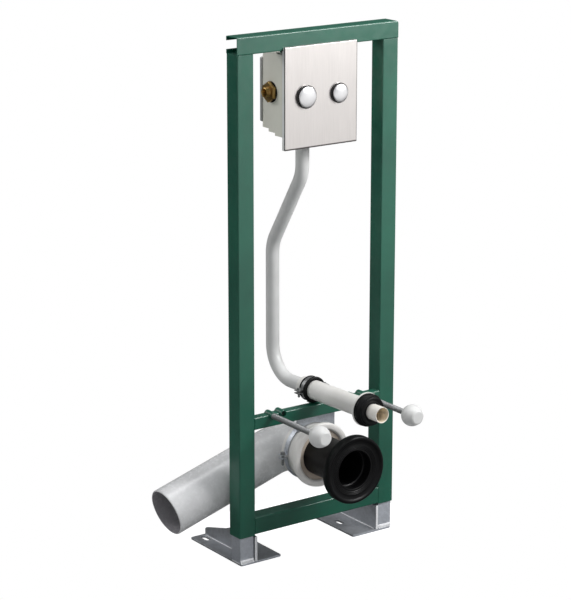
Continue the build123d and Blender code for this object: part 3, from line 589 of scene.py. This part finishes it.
# %% Threaded inlet nipple
low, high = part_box("inlet_nipple")
radius = (high.z - low.z) * 500
length = (high.x - low.x) * 1000
inlet_bore = 8.0
inlet_pitch = 1.814
inlet_tooth = 1.2
core = [(inlet_bore, 0.2), (radius - inlet_tooth, 0.2), (radius - inlet_tooth, length - 0.4)]
core += [(radius - 2, length), (inlet_bore + 0.8, length), (inlet_bore, length - 0.8)]
inlet = (high.x, (low.y + high.y) / 2, (low.z + high.z) / 2)
turns = int((length - 1) / inlet_pitch) - 1
thread_start = length - 0.7 - (turns + 1) * inlet_pitch
nipple = threaded(core, radius, inlet_tooth, inlet_pitch, thread_start, turns, inlet, (-1, 0, 0), True)
finish_piece(nipple, "threaded_inlet_nipple", brass, "frame", "inlet_nipple", 60)

# %% [markdown]
# ## Pan cup
# The rubber cup that the pan's outlet slides into has a bead round its rim, a dish with a few fine ridges that seal
# on the pottery, and a soft lip in its bore. One spun profile holds all of them, drawn with short sloped steps so
# that smooth shading reads as rubber.

# %% Pan cup
drain_axis = (0, 1, 0)
drain_centre = (0, 0, 0.205)
cup_profile = [(38, 30), (42, 30), (42, -100), (42.8, -101.6), (46, -102), (47, -103), (47, -108.6), (48, -110)]
cup_profile += [(66, -110), (69, -110.6), (70.5, -112.6), (70.5, -125.5), (69.8, -128), (68, -129.6), (65.6, -130)]
cup_profile += [(63.4, -129.3), (61.8, -127.6), (60.6, -126.7), (56, -126.2), (52.6, -125.8), (51.8, -126.3)]
cup_profile += [(51, -125.7), (49.6, -125.4), (48.8, -126), (48, -125.3), (46.6, -124.9), (45.8, -125.5)]
cup_profile += [(45, -124.6), (43.6, -124), (42.4, -124.8), (41, -124.9), (40.2, -124.2), (40, -122.6)]
cup_profile += [(40.6, -119), (41, -112), (40.3, -108.5), (40.3, -106), (41, -104), (40, -102), (38, -101)]
cup = lathe(cup_profile, drain_centre, drain_axis, 112)
finish_piece(cup, "ribbed_pan_cup", black_rubber, "frame", "pan_cup", 60)

# %% [markdown]
# ## Collar and its seal
# The collar's mouth is a thick white lip with well rounded corners. Just inside lies a grooved seal of brownish
# rubber. The body behind the lip carries two low moulding rings, one each side of the strap.

# %% Collar and its seal
collar_profile = [(47, 45), (59.6, 45), (60.8, 44.2), (61, 43), (61, 36.4), (60.4, 35.4), (60.4, 16.6), (61, 15.6)]
collar_profile += [(61, 9), (60.5, 8), (60.5, 4), (61, 2.4), (61, -1.6), (62, -2.7), (64, -3), (66.6, -3.4)]
collar_profile += [(67.7, -4.8), (68, -6.5), (68, -10.6), (67.4, -13), (66, -14.5), (64, -15), (59.6, -15)]
collar_profile += [(56.4, -14.6), (54.4, -13.2), (53.4, -11.6), (53.2, -8.4), (56, -8), (56, 30), (47, 30)]
collar = lathe(collar_profile, drain_centre, drain_axis, 112)
finish_piece(collar, "turned_collar", white_moulding, "frame", "drain_collar", 50)

seal_profile = [(53, 0), (50, -6), (42.4, -6.3), (42.3, -7.4), (43, -8.2), (44, -8.7), (45.2, -8.3), (46.4, -9.3)]
seal_profile += [(47.6, -8.8), (48.8, -9.8), (50, -9.2), (51.2, -10), (52.4, -9.4), (52.9, -7.9), (55.9, -7.8)]
seal_profile.append((55.9, 0))
seal = lathe(seal_profile, drain_centre, drain_axis, 112)
finish_piece(seal, "ridged_seal", seal_rubber, "frame", "drain_seal", 50)

# %% [markdown]
# ## Gland and nozzle
# The gland is a thick rubber plug that the pan's inlet closes on, with soft ridges round its barrel. The nozzle in it
# is a short white tube, whose inside looks a little yellow and whose rim is thin and light.

# %% Gland
gland_profile = [(16.4, 50.9), (32, 50.9), (33.2, 50.2), (33.4, 49), (33.4, 47.2), (32.8, 46.4), (32.8, 45.2)]
gland_profile += [(33.4, 44.4), (33.4, 42.6), (32.6, 41), (31, 38.8), (29.6, 37.4), (29, 36.4), (29, 35.4)]
gland_profile += [(28.5, 34.8), (28.5, 34), (29, 33.4), (29, 32.2), (28.4, 30.9), (27.2, 30.1), (25.4, 30)]
gland_profile += [(22, 30.2), (21, 30.8), (20, 30.2), (18.6, 30), (17.2, 30.3), (16.4, 31.4)]
gland = lathe(gland_profile, flush_tip, flush_axis)
finish_piece(gland, "ridged_gland", black_rubber, "frame", "flush_gland", 50)

# %% Flange rim, and the clip's lining with its two lips
flange_profile = [(32.9, 51.1), (33.9, 51.3), (34.3, 51.9), (34.3, 54.1), (33.9, 54.7), (32.9, 54.9)]
flange = lathe(flange_profile, flush_tip, flush_axis)
finish_piece(flange, "connector_flange_rim", white_moulding, "frame")

lining_profile = [(20.1, 224.6), (20.1, 245), (25, 245), (25.9, 244.6), (26.2, 243.6), (25.9, 242.6), (25, 242.2)]
lining_profile += [(23, 242.1), (23, 230.1), (25.6, 230), (26.8, 229.4), (27.2, 228), (27, 226.2), (26.2, 225)]
lining_profile.append((25, 224.6))
lining = lathe(lining_profile, flush_tip, flush_axis)
finish_piece(lining, "clip_lining", black_rubber, "frame", "clip_rubber", 50)

# %% [markdown]
# ## Back cover, pipe nut and their screws
# The photograph doesn't show the housing's service side, so its forms are a guess: a cover with moulded ribs that
# stiffen it, four screws, and the nut that closes on the flush pipe below. The nut is turned, and small ribs round
# it give fingers a grip.

# %% Back cover ribs and screws
low, high = box_mm("housing_back_cover")
cover_margin = 9
rib_width = 2
rib_height = 1.4


def moulded_bar(start, end, width, height):
    """A rib between two points on a face that looks backwards, in millimetres, with softened edges."""
    start, end = Vector(start), Vector(end)
    shape = bmesh.new()
    bmesh.ops.create_cube(shape, size=1)
    size = end - start
    size = Vector((max(abs(size.x), width), height, max(abs(size.z), width)))
    bmesh.ops.scale(shape, verts=shape.verts, vec=size)
    bmesh.ops.translate(shape, verts=shape.verts, vec=(start + end) / 2 + Vector((0, height / 2, 0)))
    soften(shape, min(width, height) * 0.3)
    bmesh.ops.scale(shape, verts=shape.verts, vec=(0.001, 0.001, 0.001))
    return shape


cover_face = high.y - 0.1
left, right = low.x + cover_margin, high.x - cover_margin
bottom, top = low.z + cover_margin, high.z - cover_margin
bars = []
for fraction in (0, 0.25, 0.5, 0.75, 1):
    x = left + (right - left) * fraction
    bars.append(moulded_bar((x, cover_face, bottom), (x, cover_face, top), rib_width, rib_height))
for fraction in (0, 0.5, 1):
    z = bottom + (top - bottom) * fraction
    bars.append(moulded_bar((left, cover_face, z), (right, cover_face, z), rib_width, rib_height))
finish_piece(join(bars), "back_cover_ribs", cover_grey, "frame")

screw_inset = 4.8
screw_head = [(0, 0), (1.6, 0.1), (2.5, 0.6), (2.9, 1.4), (2.9, 2.2), (0, 2.2)]
screws = []
for x in (low.x + screw_inset, high.x - screw_inset):
    for z in (low.z + screw_inset, high.z - screw_inset):
        head_top = (x / 1000, (high.y + 1.6) / 1000, z / 1000)
        screws.append(lathe(screw_head, head_top, (0, -1, 0), 24, False))
finish_piece(join(screws), "back_cover_screws", bright_zinc, "frame")

# %% Lug on the housing's upper edge, with a black disc in its hole as painted shade
housing_low, housing_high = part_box("valve_housing")
lug_y = housing_low.y * 0.56 + housing_high.y * 0.44
lug_centre = (housing_low.x + 0.0048, lug_y, housing_high.z - 0.0012)
lug = [(1.9, 0), (4.4, 0), (4.4, 2.2), (4, 2.7), (2.3, 2.7), (1.9, 2.4)]
finish_piece(lathe(lug, lug_centre, (0, 0, 1), 48), "housing_lug", housing_grey, "frame")
# Painted shade: a black disc fills the lug's hole, where shade falls.
hole_shade_disc = [(0, 0.2), (2.1, 0.2), (2.1, 1.9), (1.7, 2.2), (0, 2.2)]
finish_piece(lathe(hole_shade_disc, lug_centre, (0, 0, 1), 32, False), "lug_hole_shade", black_moulding, "frame")

# %% Nut round the flush pipe
nut_centre = (0, 0.0575, housing_low.z)
nut_profile = [(14.2, 0.1), (19.6, 0.1), (20, -0.4), (20, -12.6), (19.4, -13.6), (17.4, -14.6), (15, -15)]
nut_profile.append((14.2, -15))
nut_parts = [lathe(nut_profile, nut_centre, (0, 0, 1), 64)]
grips = 20
for step in range(grips):
    rib = bmesh.new()
    bmesh.ops.create_cube(rib, size=1)
    bmesh.ops.scale(rib, verts=rib.verts, vec=(0.0018, 0.0022, 0.0106))
    soften(rib, 0.0004)
    bmesh.ops.translate(rib, verts=rib.verts, vec=(0.0202, 0, -0.0064))
    turn = Matrix.Rotation(math.tau * step / grips, 3, "Z")
    bmesh.ops.rotate(rib, verts=rib.verts, cent=(0, 0, 0), matrix=turn)
    bmesh.ops.translate(rib, verts=rib.verts, vec=nut_centre)
    nut_parts.append(rib)
finish_piece(join(nut_parts), "flush_pipe_nut", white_moulding, "frame")

# %% [markdown]
# ## Push buttons
# Each button is a chromed cap. Its black skirt is painted shade, the dark crescent seen beside the cap from the side.
# The cap is gently crowned and its edge is rolled over, and both are turned from short profiles.

# %% Push buttons
for size in ("full", "half"):
    node, body = f"{size}_flush_button", f"{size}_button"
    low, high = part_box(node)
    radius = (high.x - low.x) * 500
    centre = ((low.x + high.x) / 2, low.y, (low.z + high.z) / 2)
    depth = (high.y - low.y) * 1000
    cap = [(0, 0), (radius * 0.3, 0.18), (radius * 0.6, 0.72), (radius * 0.84, 1.62), (radius * 0.93, 2.2)]
    cap += [(radius * 0.985, 3), (radius, 3.9), (radius * 0.985, 4.5), (radius * 0.95, 4.6), (0, 4.6)]
    chrome_cap = lathe(cap, centre, (0, 1, 0), closed=False)
    finish_piece(chrome_cap, f"{size}_button_cap", chrome, body, node, 50)
    # Painted shade: a black skirt stands for the shade on the button's side.
    skirt = [(0, 4.5), (radius * 0.965, 4.5), (radius * 0.98, 5), (radius * 0.98, depth - 0.4)]
    skirt += [(radius * 0.9, depth), (0, depth)]
    shade_skirt_shape = lathe(skirt, centre, (0, 1, 0), closed=False)
    finish_piece(shade_skirt_shape, f"{size}_button_shade_skirt", black_moulding, body)

# %% [markdown]
# ## Screws
# The clip is closed by two screws with hexagon heads and washers, and the strap by one. A head starts as a prism
# with six sides, is bevelled, and stands on a turned washer.

# %% Screws of the clip and the strap
def hexagon_screw(head, tip, across, head_height, shank_radius):
    """A screw whose head's top is at `head` and whose shank ends at `tip`, in millimetres."""
    head, tip = Vector(head), Vector(tip)
    way = (tip - head).normalized()
    length = (tip - head).length
    corner = across / math.sqrt(3) / 1000
    shape = bmesh.new()
    bmesh.ops.create_cone(
        shape, cap_ends=True, segments=6, radius1=corner, radius2=corner, depth=head_height / 1000
    )
    soften(shape, 0.0004, angle=40)
    middle = (head + way * head_height / 2) / 1000
    bmesh.ops.transform(shape, matrix=placed(middle, way), verts=shape.verts)
    washer = [(shank_radius, head_height), (across * 0.62, head_height), (across * 0.66, head_height + 0.3)]
    washer += [(across * 0.66, head_height + 0.9), (shank_radius, head_height + 0.9)]
    shank = [(0, head_height), (shank_radius, head_height), (shank_radius, length - 1)]
    shank += [(shank_radius * 0.7, length), (0, length)]
    centre = head / 1000
    return join([shape, lathe(washer, centre, way, 32), lathe(shank, centre, way, 24, False)])


low, high = box_mm("clip_screws")
clip_screw_inset = 5.0
screws = []
for x in (low.x + clip_screw_inset, high.x - clip_screw_inset):
    y = (low.y + high.y) / 2
    head, tip = (x, y, high.z), (x, y, low.z)
    screws.append(hexagon_screw(head, tip, across=7.6, head_height=3.4, shank_radius=2.4))
finish_piece(join(screws), "clip_hexagon_screws", bright_zinc, "frame", "clip_screws")

low, high = box_mm("strap_screw")
middle = (low + high) / 2
head, tip = (middle.x, middle.y, high.z), (middle.x, middle.y, low.z)
strap_screw = hexagon_screw(head, tip, across=9, head_height=4, shank_radius=2.9)
finish_piece(strap_screw, "strap_hexagon_screw", bright_zinc, "frame", "strap_screw")

# %% [markdown]
# ## Floor, backdrop and light
# The photograph stands on pure white. The backdrop is white to the camera whatever the lamps do, through Light
# Path's camera and transmission rays. The floor glows almost white there and still takes the frame's soft shadow.
# Mirror rays see a painted reflection: a darker floor whose glow grows from none at the feet to white in front.
# The camera sees only the piece of floor under each foot, which goes down with it, so that a foot never sinks in.

# %% Floor and world
floor_glow = 0.88
floor_front = (0.3, -0.95, 0)
studio_white, tree, shader, place = new_finish("studio_white", 0.9)
shader.inputs["Specular IOR Level"].default_value = 0.0
path = tree.nodes.new("ShaderNodeLightPath").outputs
away = tree.nodes.new("ShaderNodeVectorMath")
away.operation = "DOT_PRODUCT"
away.inputs[1].default_value = floor_front
tree.links.new(place, away.inputs[0])
# Painted reflection: the floor's glow to mirror rays grows with distance in front, and its colour for them is darker.
reach = fade(tree, away.outputs["Value"], 0.6, 2.7, 0, 0.95)
mirrored = combine(tree, "MULTIPLY", path["Is Glossy Ray"], reach)
seen = combine(tree, "MAXIMUM", path["Is Camera Ray"], mirrored)
shader.inputs["Emission Color"].default_value = (1, 1, 1, 1)
tree.links.new(combine(tree, "MULTIPLY", seen, floor_glow), shader.inputs["Emission Strength"])
tint(tree, path["Is Glossy Ray"], shader.inputs["Base Color"], grey(0.42), grey(0.12), 0, 1)


def lay_floor(name, centre, width, depth, height):
    """A level piece of floor, in metres. Its origin stays on the Z axis, which its finish is measured from."""
    shape = bmesh.new()
    bmesh.ops.create_grid(shape, x_segments=1, y_segments=1, size=0.5)
    bmesh.ops.scale(shape, verts=shape.verts, vec=(width, depth, 1))
    bmesh.ops.translate(shape, verts=shape.verts, vec=centre)
    mesh = bpy.data.meshes.new(name)
    shape.to_mesh(mesh)
    shape.free()
    mesh.materials.append(studio_white)
    floor = bpy.data.objects.new(name, mesh)
    floor.location = (0, 0, height)
    bpy.context.scene.collection.objects.link(floor)
    return floor


studio_floor = lay_floor("studio_floor", (0, 0, 0), 24, 24, -0.001)
studio_floor.visible_camera = False
studio_floor.visible_shadow = False
floor_margin = 0.09
for side in ("left", "right"):
    low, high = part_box(f"{side}_base_plate")
    centre = ((low.x + high.x) / 2, (low.y + high.y) / 2, 0)
    width, depth = high.x - low.x + 2 * floor_margin, high.y - low.y + 2 * floor_margin
    patch = lay_floor(f"floor_under_{side}_foot", centre, width, depth, -0.0005)
    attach(patch, f"{side}_foot")

world = bpy.data.worlds.new("studio_world")
world.use_nodes = True
bpy.context.scene.world = world
tree = world.node_tree
tree.nodes.clear()
direction = tree.nodes.new("ShaderNodeSeparateXYZ")
tree.links.new(tree.nodes.new("ShaderNodeTexCoord").outputs["Generated"], direction.inputs[0])
up = fade(tree, direction.outputs["Z"], 0, 0.8, 0.34, 0.7)
back = fade(tree, direction.outputs["Y"], -0.3, 0.5, 1, 0.24)
dome = tree.nodes.new("ShaderNodeBackground")
dome.inputs["Color"].default_value = (0.96, 0.98, 1.0, 1)
tree.links.new(combine(tree, "MULTIPLY", up, back), dome.inputs["Strength"])
backdrop = tree.nodes.new("ShaderNodeBackground")
backdrop.inputs["Color"].default_value = (1, 1, 1, 1)
backdrop.inputs["Strength"].default_value = 1.0
path = tree.nodes.new("ShaderNodeLightPath").outputs
straight = combine(tree, "MAXIMUM", path["Is Camera Ray"], path["Is Transmission Ray"])
choose = tree.nodes.new("ShaderNodeMixShader")
output = tree.nodes.new("ShaderNodeOutputWorld")
tree.links.new(straight, choose.inputs["Fac"])
tree.links.new(dome.outputs["Background"], choose.inputs[1])
tree.links.new(backdrop.outputs["Background"], choose.inputs[2])
tree.links.new(choose.outputs["Shader"], output.inputs["Surface"])


# %% Lamps
def softbox(name, location, aim, size, power):
    """A square lamp that points at a place on the object."""
    data = bpy.data.lights.new(name, "AREA")
    data.size = size
    data.energy = power
    lamp = bpy.data.objects.new(name, data)
    lamp.location = location
    lamp.rotation_mode = "QUATERNION"
    lamp.rotation_quaternion = (Vector(aim) - Vector(location)).to_track_quat("-Z", "Y")
    bpy.context.scene.collection.objects.link(lamp)


softbox("key_softbox", (0.95, -1.1, 1.6), (0, 0, 0.8), size=0.7, power=33)
softbox("top_softbox", (0.2, 0.1, 2.9), (0, 0, 0.3), size=1.0, power=16)
softbox("fill_softbox", (-2.4, -1.4, 1.3), (0, 0, 0.6), size=1.6, power=2.5)
softbox("back_softbox", (-1.9, 1.9, 2.3), (0, 0, 0.5), size=1.2, power=30)
